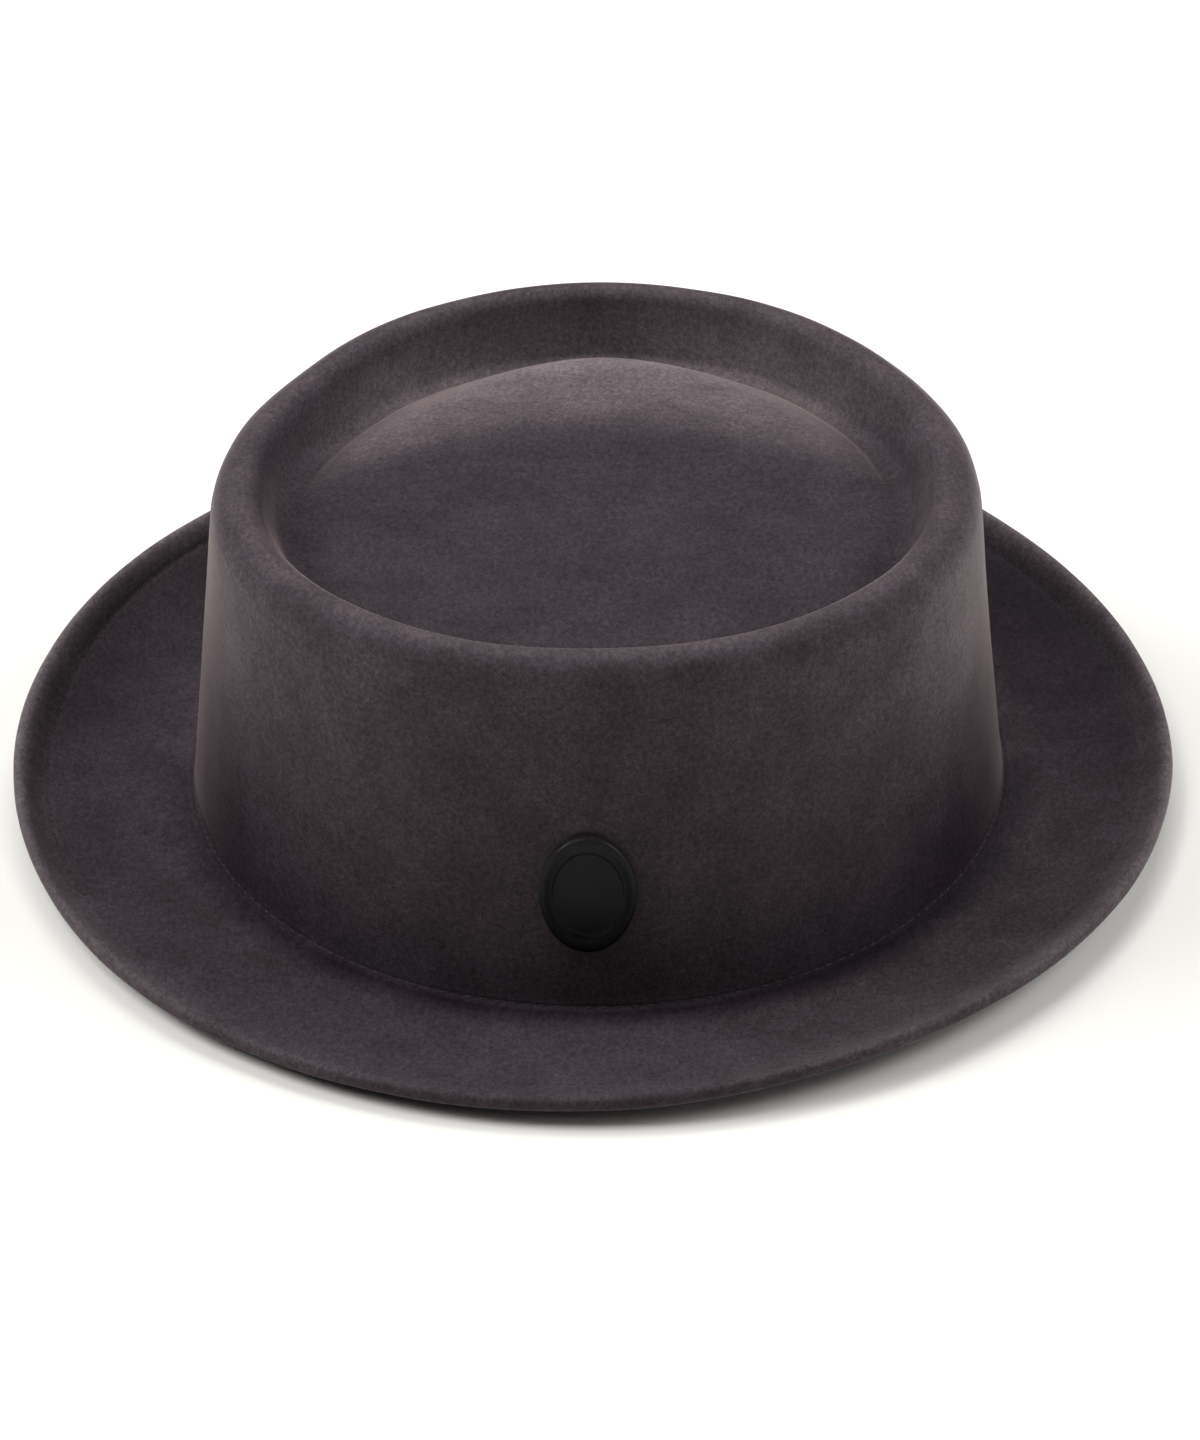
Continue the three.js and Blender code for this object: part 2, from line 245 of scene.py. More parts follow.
def groove_rows(angle, steps):
    """The shoulder from the tip down, and the round bottom of the groove"""
    tilt = inner_tilt(angle)
    radius = GROOVE_RADIUS * share("hollow", angle)
    turn = inner_radius(angle) + radius
    start = -lean(angle) - RIM_OUTER - turn * np.sin(tilt)
    bottom = tip_at(angle, start) - GROOVE_BELOW_TIP * share("deep", angle)
    drop = crest(angle) - bottom - turn * (1 - np.cos(tilt))
    out = start - drop / np.tan(tilt)
    width = SHOULDER_WIDTH * share("shoulder", angle)
    steep = np.arctan(SHOULDER_POWER * (tip_at(angle, out - width) - bottom) / width)
    groove = arc(out, bottom + radius, -radius, steep, -tilt, steps)
    foot = groove[0]
    left = np.linspace(0, 1, steps, endpoint=False)[:, None]
    spot = foot[:, 0] - width * (1 - left)
    rise = tip_at(angle, spot) - foot[:, 1]
    slope = SHOULDER_POWER * rise * left ** (SHOULDER_POWER - 1) / width
    shoulder = row(spot, foot[:, 1] + rise * (1 - left ** SHOULDER_POWER), np.arctan(slope))
    return np.concatenate([shoulder, groove])


# %% [markdown]
# ## The brim and its rolled edge
# The brim leaves the crown as a flat ring and curls up. Its last few millimetres are turned up
# and pressed over, so a soft roll runs round the edge behind a crease, clear at the back and
# fading to nothing at the front. The roll could be a bevel, but a bevel has the same width all
# the way round. Here it is a height and a slope added to the plain curl of the brim.

# %% The roll and the rows of the brim
def brim_reach(angle):
    """From the flat ring to the start of the edge's rounding"""
    return BRIM_WIDTH * share("brim", angle) - EDGE_ROUND - FOOT_FILLET - REST_RING


def roll_band(angle):
    return ROLL_WIDTH * share("band", angle)


def roll(angle, beyond):
    """What the roll adds to the brim's height and slope, at a distance beyond its crease"""
    band = roll_band(angle)
    steepest = ROLL_SLOPE * share("roll", angle)
    crease = ROLL_SOFT + (ROLL_CRISP - ROLL_SOFT) * share("roll", angle) ** 2
    t = np.maximum(beyond / band, 0)
    fall = (1 + ROLL_OVER) * (t - crease) / (1 - crease)
    start = steepest * band * t * t / (2 * crease)
    rest = steepest * band * (crease / 2 + (t - crease) * (1 - fall / 2))
    height = np.where(t < crease, start, rest)
    slope = np.where(t < crease, steepest * t / crease, steepest * (1 - fall))
    return height, slope


def curl_rows(angle, spots):
    """The brim's face at distances out from the flat ring"""
    reach = brim_reach(angle)
    rise = BRIM_CURL * share("curl", angle) - roll(angle, roll_band(angle))[0]
    height, slope = roll(angle, spots - (reach - roll_band(angle)))
    u = spots / reach
    plain = CURL_POWER * rise * u ** (CURL_POWER - 1) / reach
    out = FOOT_FILLET + REST_RING + spots
    return row(out, FELT + rise * u ** CURL_POWER + height, -np.arctan(plain + slope))


# %% [markdown]
# ## Two rows of sewing
# One seam runs round the foot of the crown and one in the crease of the edge. A thread pulls the
# felt in where it lies, so each seam is first a narrow valley in the rows, and the stitches are
# laid into it later. Both could be painted as a dark line, but a valley also catches light.

# %% Sizes of the two seams, in millimetres
SEAM_TILT = 43 * DEG
SEAM_DEPTH = 0.35
SEAM_WIDTH = 0.5
EDGE_SEAM_DEPTH = 0.22
EDGE_SEAM_WIDTH = 0.45


def valley(distance, width):
    return np.exp(-((distance / width) ** 2))


def seam_rows(rows):
    """The bend at the crown's foot with the valley of its seam"""
    return sunk(rows, SEAM_DEPTH * valley((rows[..., 2] - SEAM_TILT) * FOOT_FILLET, SEAM_WIDTH))


def brim_spots(angle, steps):
    """Distances out along the brim, finer where the roll begins"""
    band = roll_band(angle)
    crease = brim_reach(angle) - band
    plain = np.linspace(0, 1, steps)[:, None] * (crease - 1)
    fine = crease - 1 + np.linspace(0, 3, 16)[1:, None]
    rest = crease + 2 + np.linspace(0, 1, 12)[1:, None] * (band - 2)
    return np.concatenate([plain, fine, rest])


def brim_rows(angle, steps):
    """The brim's upper face with the valley of its edge seam"""
    spots = brim_spots(angle, steps)
    crease = brim_reach(angle) - roll_band(angle)
    depth = EDGE_SEAM_DEPTH * share("roll", angle) * valley(spots - crease, EDGE_SEAM_WIDTH)
    return sunk(curl_rows(angle, spots), depth)


def edge_rows(last, steps):
    """The rounded edge, from the upper face over the side to the underside"""
    upper, lower = sunk(last, EDGE_ROUND), sunk(last, FELT - EDGE_ROUND)
    side = last[:, 2] + QUARTER
    top = arc(upper[:, 0], upper[:, 1], EDGE_ROUND, last[:, 2], side, steps)
    foot = arc(lower[:, 0], lower[:, 1], EDGE_ROUND, side, side + QUARTER, steps)
    return np.concatenate([top[1:], foot])


# %% [markdown]
# ## From rows to a mesh
# Each row becomes a ring of points round the hat, and neighbouring rings are joined by quads.
# A screw or a lathe would do for a round hat, but this one is oval and its section changes, so
# the rings are written straight into a mesh. Both ends of the felt close in the middle of the tip.

# %% A closed skin over rings of points
def skin(name, rings, poles=None):
    """A mesh over rings of points, closed by a pole at both ends or by its last pair of rings"""
    count, around = rings.shape[:2]
    points = rings.reshape(-1, 3)
    bands = count - 1 if poles is not None else count
    near = (np.arange(bands)[:, None] * around + np.arange(around)).ravel()
    near_next = (np.arange(bands)[:, None] * around + (np.arange(around) + 1) % around).ravel()
    far, far_next = ((ring + around) % (count * around) for ring in (near, near_next))
    faces = np.stack([near, far, far_next, near_next], axis=-1).tolist()
    if poles is not None:
        first, last = len(points), len(points) + 1
        points = np.concatenate([points, poles])
        ring = np.arange(around)
        following = (ring + 1) % around
        faces += [[first, a, b] for a, b in zip(ring.tolist(), following.tolist())]
        end = (count - 1) * around
        faces += [[last, end + b, end + a] for a, b in zip(ring.tolist(), following.tolist())]
    mesh = bpy.data.meshes.new(name)
    mesh.from_pydata((points * MM).tolist(), [], faces)
    mesh.shade_smooth()
    piece = bpy.data.objects.new(name, mesh)
    bpy.context.scene.collection.objects.link(piece)
    return piece


def triangles(piece):
    return sum(len(face.vertices) - 2 for face in piece.data.polygons)


# %% The blocked felt body
STATIONS = 360
UPPER_STEPS = {"groove": 12, "rim": 14, "wall": 26, "bend": 20, "brim": 18, "edge": 5}
UNDER_STEPS = {"groove": 7, "rim": 8, "wall": 14, "bend": 6, "brim": 8, "roll": 10}
TIP_SHARES = np.linspace(0.06, 0.96, 15)
UNDER_TIP_SHARES = np.linspace(0.94, 0.08, 9)
around = np.linspace(0, 2 * math.pi, STATIONS, endpoint=False)


def crown_parts(steps):
    """The rows that the upper face and the underside have alike, down to the crown's foot"""
    return [
        groove_rows(around, steps["groove"]),
        rim_rows(around, steps["rim"]),
        wall_rows(around, wall_top(around), steps["wall"]),
        fillet_rows(around, 0, steps["bend"]),
    ]


def felt_rings():
    """Rings over the whole section, and how many each part of the upper face has"""
    groove, rim, wall, bend = crown_parts(UPPER_STEPS)
    reach, band = brim_reach(around), roll_band(around)
    upper = [groove, rim, wall, seam_rows(bend), brim_rows(around, UPPER_STEPS["brim"])]
    upper.append(edge_rows(curl_rows(around, reach[None, :])[0], UPPER_STEPS["edge"]))
    flat = np.linspace(0, 1, UNDER_STEPS["brim"])[:-1, None] * (reach - band)
    rolled = reach - band + np.linspace(0, 1, UNDER_STEPS["roll"])[:, None] * band
    under = [*crown_parts(UNDER_STEPS), curl_rows(around, flat), curl_rows(around, rolled)]
    rows = np.concatenate([*upper, sunk(np.concatenate(under), FELT)[::-1]])
    return place(around, rows[..., 0], rows[..., 1]), [len(part) for part in upper]


def tip_rings(ring, depth, shares):
    """Rings over the tip, as shares of the ring at its edge"""
    spots = ring[:, :2] * shares[:, None, None]
    z = tip_height(spots[..., 0], spots[..., 1]) - depth
    return np.concatenate([spots, z[..., None]], axis=-1)


rings, (groove_count, rim_count, wall_count, bend_count, brim_count, edge_count) = felt_rings()
upper_tip = tip_rings(rings[0], 0, TIP_SHARES)
under_tip = tip_rings(rings[-1], FELT, UNDER_TIP_SHARES)
middle = tip_height(0, 0)
felt = skin("felt_hat", np.concatenate([upper_tip, rings, under_tip]),
            np.array([[0, 0, middle], [0, 0, middle - FELT]]))

# %% [markdown]
# ## Where light and shade are painted on the felt
# The felt's colour is painted paler where light and sheen fall: most of all on the sloping back of
# the tip, on the rim and on the upper sides. The cut edge of the brim is pale too, partly from a
# little real fray and partly as painted sheen. At the foot of the crown and in the crease of the
# brim, where shade falls, the colour is painted darker. This could be painted by hand, but each
# place is a share of the section, so a number for each point of the felt holds it: low for painted
# shade, high for painted light.

# %% How pale the tip and the groove are: painted light on the back of the tip
PALE_PLAIN = 0.115
# The bright crescent behind the tip's fold is painted light, fading down into the groove
PALE_TIP = ((-14, 0.115), (-5, 0.2), (2, 0.43), (10, 0.6), (26, 0.76), (41, 1.25))
PALE_TIP_ENDS = (
    (-68, 0.05), (-58, 0.47), (-42, 0.97), (20, 1), (34, 0.88), (48, 0.7), (58, 0.36), (68, 0.02))
PALE_GROOVE = 0.6


def steps_between(ends, count):
    return np.linspace(ends[0], ends[1], count)[:, None]


def between(first, second, part):
    return first + (second - first) * part


def tip_painted_light():
    """Painted light by the distance in millimetres behind the tip's fold, less toward its two ends"""
    spots = np.concatenate([upper_tip, rings[:groove_count]])
    behind = spots[..., 1] - TIP_FALL_START + TIP_FALL_BOW * spots[..., 0] ** 2
    ends = np.interp(spots[..., 0], *zip(*PALE_TIP_ENDS))
    pale = (np.interp(behind, *zip(*PALE_TIP)) - PALE_PLAIN) * ends
    halfway, bottom = groove_count / 2, groove_count - 1
    fade = np.interp(np.arange(groove_count), (halfway, bottom), (1, PALE_GROOVE))
    pale[-groove_count:] *= fade[:, None]
    return PALE_PLAIN + pale


# %% Painted light and shade on the wall, top to foot; its sides are given by shares of its height
# PALE_WALL is painted light at the top, fading to painted shade at the foot
PALE_WALL = (0.29, 0.13)
PALE_WALL_SIDE_FOOT = 0.03
# The sides carry painted sheen high up and painted shade at the foot, the right side more light
PALE_SIDES = (
    (0, -0.04), (0.2, -0.01), (0.36, 0.06), (0.5, 0.15), (0.65, 0.31), (0.8, 0.43), (1, 0.43))
PALE_RIGHT = 0.2
SIDES_START = 0.7
SIDES_FULL = 0.867
FRONT_FOOT_END = 0.294


def wall_painted_light_and_shade():
    """Painted shade toward the foot: front and back fade evenly, the sides in the steps of their table
    """
    off_front = np.clip((1 - np.cos(around)) / FRONT_FOOT_END, 0, 1)
    foot = between(PALE_WALL[1], PALE_WALL_SIDE_FOOT, off_front)
    plain = between(PALE_WALL[0], foot, steps_between((0, 1), wall_count))
    climb = steps_between((1, 0), wall_count) ** WALL_CROWDING
    side = np.interp(climb, *zip(*PALE_SIDES)) * (1 + PALE_RIGHT * np.sin(around))
    beside = np.clip((np.abs(np.sin(around)) - SIDES_START) / (SIDES_FULL - SIDES_START), 0, 1)
    return between(plain, side, beside)


# %% Painted highlight on the rim's crest at the front and back, painted light on its inner wall
PALE_RIM = (0.37, 0.27)
PALE_RIM_WIDTH = 0.28
# Painted light on the back inner wall and on the right inner wall
PALE_BACK_WALL = 0.34
PALE_BACK_WALL_END = 0.7
PALE_INNER_RIGHT = 0.09


def rim_painted_light_and_shade(wall_start):
    """Painted highlight on the crest, into the wall outside; painted shade toward the groove"""
    along = steps_between((0, 1), rim_count)
    crest_pale = between(*PALE_RIM, (1 - np.cos(around)) / 2)
    pale = between(PALE_PLAIN, crest_pale, np.exp(-(((along - 0.5) / PALE_RIM_WIDTH) ** 2)))
    pale = np.maximum(pale, between(PALE_PLAIN, wall_start, np.clip(2 * along - 1, 0, 1)))
    pale += PALE_INNER_RIGHT * np.sin(around) * np.clip(1 - 2 * along, 0, 1)
    back = np.clip(-np.cos(around), 0, 1)
    return pale + PALE_BACK_WALL * back * np.clip(1 - along / PALE_BACK_WALL_END, 0, 1)


# %% Painted light and shade on the brim, from the crown's foot over the crease to the frayed edge
# PALE_FOOT is painted shade in the bend under the foot seam
PALE_FOOT = -0.05
# The front is painted paler than the back, and the right side ahead of its middle, as painted light
PALE_BRIM_FRONT = (0.19, 0.2)
PALE_BRIM_BACK = (0.13, 0.03)
PALE_BRIM_RIGHT = 0.1
# Painted shade on the inner side of the crease
PALE_CREASE = -0.08
PALE_CREASE_WIDTH = 6
# The pale band at the edge is partly a little real fray and partly painted sheen
PALE_FRAY_AND_PAINTED_SHEEN = (0.05, 0.75)
PALE_FRAY_AND_PAINTED_SHEEN_WIDTH = 3.4
# Painted highlights on the edge's upper and lower corners
PALE_CORNERS = (0.15, 0.1, 0.43)
PALE_UNDER_EDGE = 0.6


def foot_painted_shade(wall_end):
    """Painted shade in the bend at the crown's foot, darkest at the front"""
    fore = np.clip(np.cos(around), 0, 1) ** 0.5
    foot = between(PALE_BRIM_FRONT[0], PALE_FOOT, fore)
    return between(wall_end, foot, steps_between((0, 1), bend_count))


def brim_painted_light_shade_and_fray():
    """Painted light and shade between front and back; the right side is paler ahead of its middle"""
    rear = np.clip(1 - np.cos(around), 0, 1)
    front, back = (steps_between(ends, brim_count) for ends in (PALE_BRIM_FRONT, PALE_BRIM_BACK))
    from_edge = brim_reach(around) - brim_spots(around, UPPER_STEPS["brim"])
    inward = from_edge - roll_band(around)
    crease = PALE_CREASE * rear * (inward > 0) * np.exp(-inward / PALE_CREASE_WIDTH)
    right = PALE_BRIM_RIGHT * np.clip(np.sin(around), 0, 1) * np.sin(2 * around)
    fray_and_painted_sheen = between(*PALE_FRAY_AND_PAINTED_SHEEN, rear) * np.exp(-from_edge / PALE_FRAY_AND_PAINTED_SHEEN_WIDTH)
    return between(front, back, rear) + crease + right + fray_and_painted_sheen


def edge_painted_highlight_and_fray(brim_end):
    """The cut edge, with painted highlights on its corners, most at the lower one, and a little fray"""
    places = (0, edge_count / 2, edge_count - 3)
    corners = np.interp(np.arange(edge_count), places, PALE_CORNERS)[:, None]
    return np.maximum(corners, brim_end * steps_between((1, PALE_UNDER_EDGE), edge_count))


# %% The painted light and shade of each point of the felt
PALE_LEAST = 0.082


def painted_light_shade_and_fray():
    """The parts in the order of the rings; the underside keeps the plain paleness"""
    wall, brim = wall_painted_light_and_shade(), brim_painted_light_shade_and_fray()
    upper = np.concatenate([
        tip_painted_light(), rim_painted_light_and_shade(wall[:1]), wall, foot_painted_shade(wall[-1]), brim,
        edge_painted_highlight_and_fray(brim[-1]),
    ])
    pale = np.full(len(felt.data.vertices), PALE_PLAIN)
    pale[:upper.size] = upper.ravel()
    return between(PALE_LEAST, 1, pale)


# Each point's painted light and shade, with the edge's fray, is kept for the felt's colour
attribute = felt.data.attributes.new("painted_light_shade_and_fray", "FLOAT", "POINT")
attribute.data.foreach_set("value", painted_light_shade_and_fray())

# %% The frame's felt tells where the middle of the hat lies
frame_low, frame_high = (np.array(corner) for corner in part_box("felt_body"))
points = np.array([vertex.co for vertex in felt.data.vertices])
AXIS = ((frame_low + frame_high) - (points.min(0) + points.max(0)))[:2] / 2 / MM
print("felt:", triangles(felt), "triangles, axis", AXIS, "mm")


def to_frame(piece):
    """Moves a piece's mesh from the middle of the crown's foot to the frame's origin"""
    for vertex in piece.data.vertices:
        vertex.co.x += AXIS[0] * MM
        vertex.co.y += AXIS[1] * MM


to_frame(felt)

# %% [markdown]
# ## The felt's finish
# Wool felt has no weave. Its fibres lie in all directions, so it is matt and slightly mottled,
# and the fibre tips catch light where the surface turns away, which is its pale sheen.

# %% Helpers for materials
def new_material(name):
    material = bpy.data.materials.new(name)
    material.use_nodes = True
    nodes, links = material.node_tree.nodes, material.node_tree.links
    shader = nodes["Principled BSDF"]
    return material, nodes, links, shader


def noise(nodes, links, coords, scale_mm, detail=3, stretch=(1, 1, 1)):
    """Noise with grains of a size in millimetres, read from the piece's own coordinates"""
    mapping = nodes.new("ShaderNodeMapping")
    mapping.inputs["Scale"].default_value = [s / (scale_mm * MM) for s in stretch]
    texture = nodes.new("ShaderNodeTexNoise")
    texture.inputs["Scale"].default_value = 1
    texture.inputs["Detail"].default_value = detail
    links.new(coords.outputs["Object"], mapping.inputs["Vector"])
    links.new(mapping.outputs["Vector"], texture.inputs["Vector"])
    return texture.outputs["Fac"]


def spread(nodes, links, value, low, high, start=0.3, end=0.7):
    """A range of values, at first the middle of a noise, stretched between two numbers"""
    stretch = nodes.new("ShaderNodeMapRange")
    for label, number in (("From Min", start), ("From Max", end), ("To Min", low), ("To Max", high)):
        stretch.inputs[label].default_value = number
    links.new(value, stretch.inputs["Value"])
    return stretch.outputs["Result"]


def times(nodes, links, first, second):
    product = nodes.new("ShaderNodeMath")
    product.operation = "MULTIPLY"
    links.new(first, product.inputs[0])
    links.new(second, product.inputs[1])
    return product.outputs["Value"]


def tinted(nodes, links, value, dark, pale, start=0, end=1):
    """A colour between two, as the value goes from start to end"""
    ramp = nodes.new("ShaderNodeValToRGB")
    for element, spot, colour in zip(ramp.color_ramp.elements, (start, end), (dark, pale)):
        element.position = spot
        element.color = (*colour, 1)
    links.new(value, ramp.inputs["Fac"])
    return ramp.outputs["Color"]


def roughen(nodes, links, shader, height, strength, depth_mm):
    """A relief too fine for geometry, on the shader's normal"""
    bump = nodes.new("ShaderNodeBump")
    bump.inputs["Strength"].default_value = strength
    bump.inputs["Distance"].default_value = depth_mm * MM
    links.new(height, bump.inputs["Height"])
    links.new(bump.outputs["Normal"], shader.inputs["Normal"])


# %% Felt, with its grain drawn out along the brushing; sizes of the grain in millimetres
# FELT_DARK and FELT_PALE are the two ends of the painted shade and light; the grain is the felt's own
FELT_DARK = (0.0120, 0.0075, 0.0126)
FELT_PALE = (0.158, 0.130, 0.139)
BRUSHED = (1, 0.6, 1)
GRAIN_SIZE = 0.5
TUFT_SIZE = 1.1
CLOUD_SIZE = 12
GRAIN_TONES = (0.76, 1.24)
TUFT_TONES = (0.8, 1.2)
CLOUD_TONES = (0.84, 1.16)
FELT_SHADER = {
    "Roughness": 0.5,
    "Specular IOR Level": 0.02,
    "Sheen Weight": 0.44,
    "Sheen Roughness": 0.24,
    "Sheen Tint": (1.0, 0.8, 0.76, 1),
}


def make_felt():
    material, nodes, links, shader = new_material("dark_wool_felt")
    coords = nodes.new("ShaderNodeTexCoord")
    # The painted light and shade of each point mixes the colour between FELT_DARK and FELT_PALE
    pale = nodes.new("ShaderNodeAttribute")
    pale.attribute_name = "painted_light_shade_and_fray"
    colour = nodes.new("ShaderNodeMix")
    colour.data_type = "RGBA"
    colour.clamp_factor = False
    colour.inputs["A"].default_value = (*FELT_DARK, 1)
    colour.inputs["B"].default_value = (*FELT_PALE, 1)
    grain = noise(nodes, links, coords, GRAIN_SIZE, 2, BRUSHED)
    tufts = noise(nodes, links, coords, TUFT_SIZE, 2, BRUSHED)
    clouds = noise(nodes, links, coords, CLOUD_SIZE)
    near = times(nodes, links, spread(nodes, links, grain, *GRAIN_TONES),
                 spread(nodes, links, tufts, *TUFT_TONES))
    tone = times(nodes, links, near, spread(nodes, links, clouds, *CLOUD_TONES))
    grainy = nodes.new("ShaderNodeVectorMath")
    grainy.operation = "SCALE"
    links.new(pale.outputs["Fac"], colour.inputs["Factor"])
    links.new(colour.outputs["Result"], grainy.inputs[0])
    links.new(tone, grainy.inputs["Scale"])
    links.new(grainy.outputs["Vector"], shader.inputs["Base Color"])
    roughen(nodes, links, shader, grain, 0.5, 0.1)
    for label, value in FELT_SHADER.items():
        shader.inputs[label].default_value = value
    return material


felt_finish = make_felt()

# %% [markdown]
# ## Shapes made by rule
# Some things on a hat follow a rule: the felt is never quite even, and a sewing machine lays the
# same stitch hundreds of times. Each could be modelled by hand, or copied with an array. Geometry
# Nodes do it by rule instead, with the sizes as named inputs that can be changed later. When the
# tree has done its work, its result is kept as a plain mesh.

# %% Helpers for node trees
def new_tree(name, inputs):
    """A tree with a geometry going in and out, and one socket for each named input"""
    tree = bpy.data.node_groups.new(name, "GeometryNodeTree")
    face = tree.interface
    face.new_socket("Geometry", in_out="INPUT", socket_type="NodeSocketGeometry")
    for label, kind in inputs.items():
        face.new_socket(label, in_out="INPUT", socket_type="NodeSocket" + kind)
    face.new_socket("Geometry", in_out="OUTPUT", socket_type="NodeSocketGeometry")
    return tree, tree.nodes.new("NodeGroupInput"), tree.nodes.new("NodeGroupOutput")


def step(tree, kind, operation):
    """A node that calculates"""
    node = tree.nodes.new(kind)
    node.operation = operation
    return node


def wire(tree, joints):
    """Links, each from a node's output to a node's input"""
    for source, output, target, entry in joints:
        tree.links.new(source.outputs[output], target.inputs[entry])


def grown(piece, tree, values):
    """The mesh that a tree makes of a piece, as a plain piece that takes its place"""
    modifier = piece.modifiers.new(tree.name, "NODES")
    modifier.node_group = tree
    for item in tree.interface.items_tree:
        if item.in_out == "INPUT" and item.name in values:
            modifier[item.identifier] = values[item.name]
    graph = bpy.context.evaluated_depsgraph_get()
    mesh = bpy.data.meshes.new_from_object(piece.evaluated_get(graph))
    name = piece.name
    bpy.data.objects.remove(piece)
    mesh.name = name
    made = bpy.data.objects.new(name, mesh)
    bpy.context.scene.collection.objects.link(made)
    return made


# %% [markdown]
# ## The hand of the felt
# Felt is steamed and pressed by hand, so its face swells and sinks by a fraction of a millimetre
# over a few centimetres. A sculpting brush could do that, but it would be different each time.
# The tree moves each point along the surface's normal by a smooth noise of its place.

# %% A tree that makes a surface uneven
def uneven_tree():
    tree, entry, leave = new_tree("uneven_felt", {
        "Wave": "Float", "Height": "Float", "Finish": "Material"})
    nodes = tree.nodes
    position = nodes.new("GeometryNodeInputPosition")
    normal = nodes.new("GeometryNodeInputNormal")
    waves = nodes.new("ShaderNodeTexNoise")
    waves.inputs["Scale"].default_value = 1
    waves.inputs["Detail"].default_value = 1
    shrink = step(tree, "ShaderNodeVectorMath", "DIVIDE")
    lift = step(tree, "ShaderNodeMath", "SUBTRACT")
    lift.inputs[1].default_value = 0.5
    height = step(tree, "ShaderNodeMath", "MULTIPLY")
    move = step(tree, "ShaderNodeVectorMath", "SCALE")
    shift = nodes.new("GeometryNodeSetPosition")
    real = nodes.new("GeometryNodeRealizeInstances")
    finish = nodes.new("GeometryNodeSetMaterial")
    wire(tree, (
        (position, "Position", shrink, 0),
        (entry, "Wave", shrink, 1),
        (shrink, "Vector", waves, "Vector"),
        (waves, "Fac", lift, 0),
        (lift, "Value", height, 0),
        (entry, "Height", height, 1),
        (normal, "Normal", move, 0),
        (height, "Value", move, "Scale"),
        (entry, "Geometry", shift, "Geometry"),
        (move, "Vector", shift, "Offset"),
        (shift, "Geometry", real, "Geometry"),
        (real, "Geometry", finish, "Geometry"),
        (entry, "Finish", finish, "Material"),
        (finish, "Geometry", leave, "Geometry"),
    ))
    return tree


def kept_above(piece, height):
    """Flattens what would reach below a height, as the table does"""
    for vertex in piece.data.vertices:
        vertex.co.z = max(vertex.co.z, height)


WAVE_LENGTH = 34
WAVE_HEIGHT = 0.7
felt = grown(felt, uneven_tree(), {
    "Wave": WAVE_LENGTH * MM, "Height": WAVE_HEIGHT * MM, "Finish": felt_finish})
kept_above(felt, 0)
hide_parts("felt_body")
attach(felt, "root")
print("felt after its unevenness:", triangles(felt), "triangles")

# %% [markdown]
# ## Rows of stitches
# The seam at the foot of the crown is a row of short stitches that stand a little proud of the
# felt, and the one along the edge lies deep in its crease. The tree walks along a path, sets one
# thread on each step, and turns it along the path with a small error, as a machine does.

# %% A tree that lays stitches along a path
def stitch_tree():
    tree, entry, leave = new_tree("row_of_stitches", {
        "Pitch": "Float", "Length": "Float", "Thickness": "Float", "Unevenness": "Float",
        "Seed": "Int", "Thread": "Material"})
    nodes = tree.nodes
    steps = nodes.new("GeometryNodeCurveToPoints")
    steps.mode = "LENGTH"
    thread = nodes.new("GeometryNodeMeshUVSphere")
    thread.inputs["Segments"].default_value = 8
    thread.inputs["Rings"].default_value = 6
    thread.inputs["Radius"].default_value = 0.5
    size = nodes.new("ShaderNodeCombineXYZ")
    along = nodes.new("FunctionNodeAlignRotationToVector")
    along.axis = "X"
    low = step(tree, "ShaderNodeMath", "MULTIPLY")
    low.inputs[1].default_value = -1
    error = nodes.new("FunctionNodeRandomValue")
    error.data_type = "FLOAT_VECTOR"
    turn = nodes.new("FunctionNodeEulerToRotation")
    turned = nodes.new("FunctionNodeRotateRotation")
    turned.rotation_space = "LOCAL"
    lay = nodes.new("GeometryNodeInstanceOnPoints")
    real = nodes.new("GeometryNodeRealizeInstances")
    smooth = nodes.new("GeometryNodeSetShadeSmooth")
    finish = nodes.new("GeometryNodeSetMaterial")
    wire(tree, (
        (entry, "Geometry", steps, "Curve"),
        (entry, "Pitch", steps, "Length"),
        (entry, "Length", size, "X"),
        (entry, "Thickness", size, "Y"),
        (entry, "Thickness", size, "Z"),
        (steps, "Tangent", along, "Vector"),
        (entry, "Unevenness", low, 0),
        (low, "Value", error, "Min"),
        (entry, "Unevenness", error, "Max"),
        (entry, "Seed", error, "Seed"),
        (error, "Value", turn, "Euler"),
        (along, "Rotation", turned, "Rotation"),
        (turn, "Rotation", turned, "Rotate By"),
        (steps, "Points", lay, "Points"),
        (thread, "Mesh", lay, "Instance"),
        (turned, "Rotation", lay, "Rotation"),
        (size, "Vector", lay, "Scale"),
        (lay, "Instances", real, "Geometry"),
        (real, "Geometry", smooth, "Geometry"),
        (smooth, "Geometry", finish, "Geometry"),
        (entry, "Thread", finish, "Material"),
        (finish, "Geometry", leave, "Geometry"),
    ))
    return tree


# %% A path that lies on the felt
def path_on(piece, name, points_mm, proud):
    """A closed curve of points dropped onto a piece, and lifted off it by a height"""
    curve = bpy.data.curves.new(name, "CURVE")
    curve.dimensions = "3D"
    line = curve.splines.new("POLY")
    line.points.add(len(points_mm) - 1)
    line.use_cyclic_u = True
    for knot, point in zip(line.points, points_mm):
        _, spot, normal, _ = piece.closest_point_on_mesh(point * MM)
        knot.co = (*(spot + normal * proud * MM), 1)
    path = bpy.data.objects.new(name, curve)
    bpy.context.scene.collection.objects.link(path)
    return path


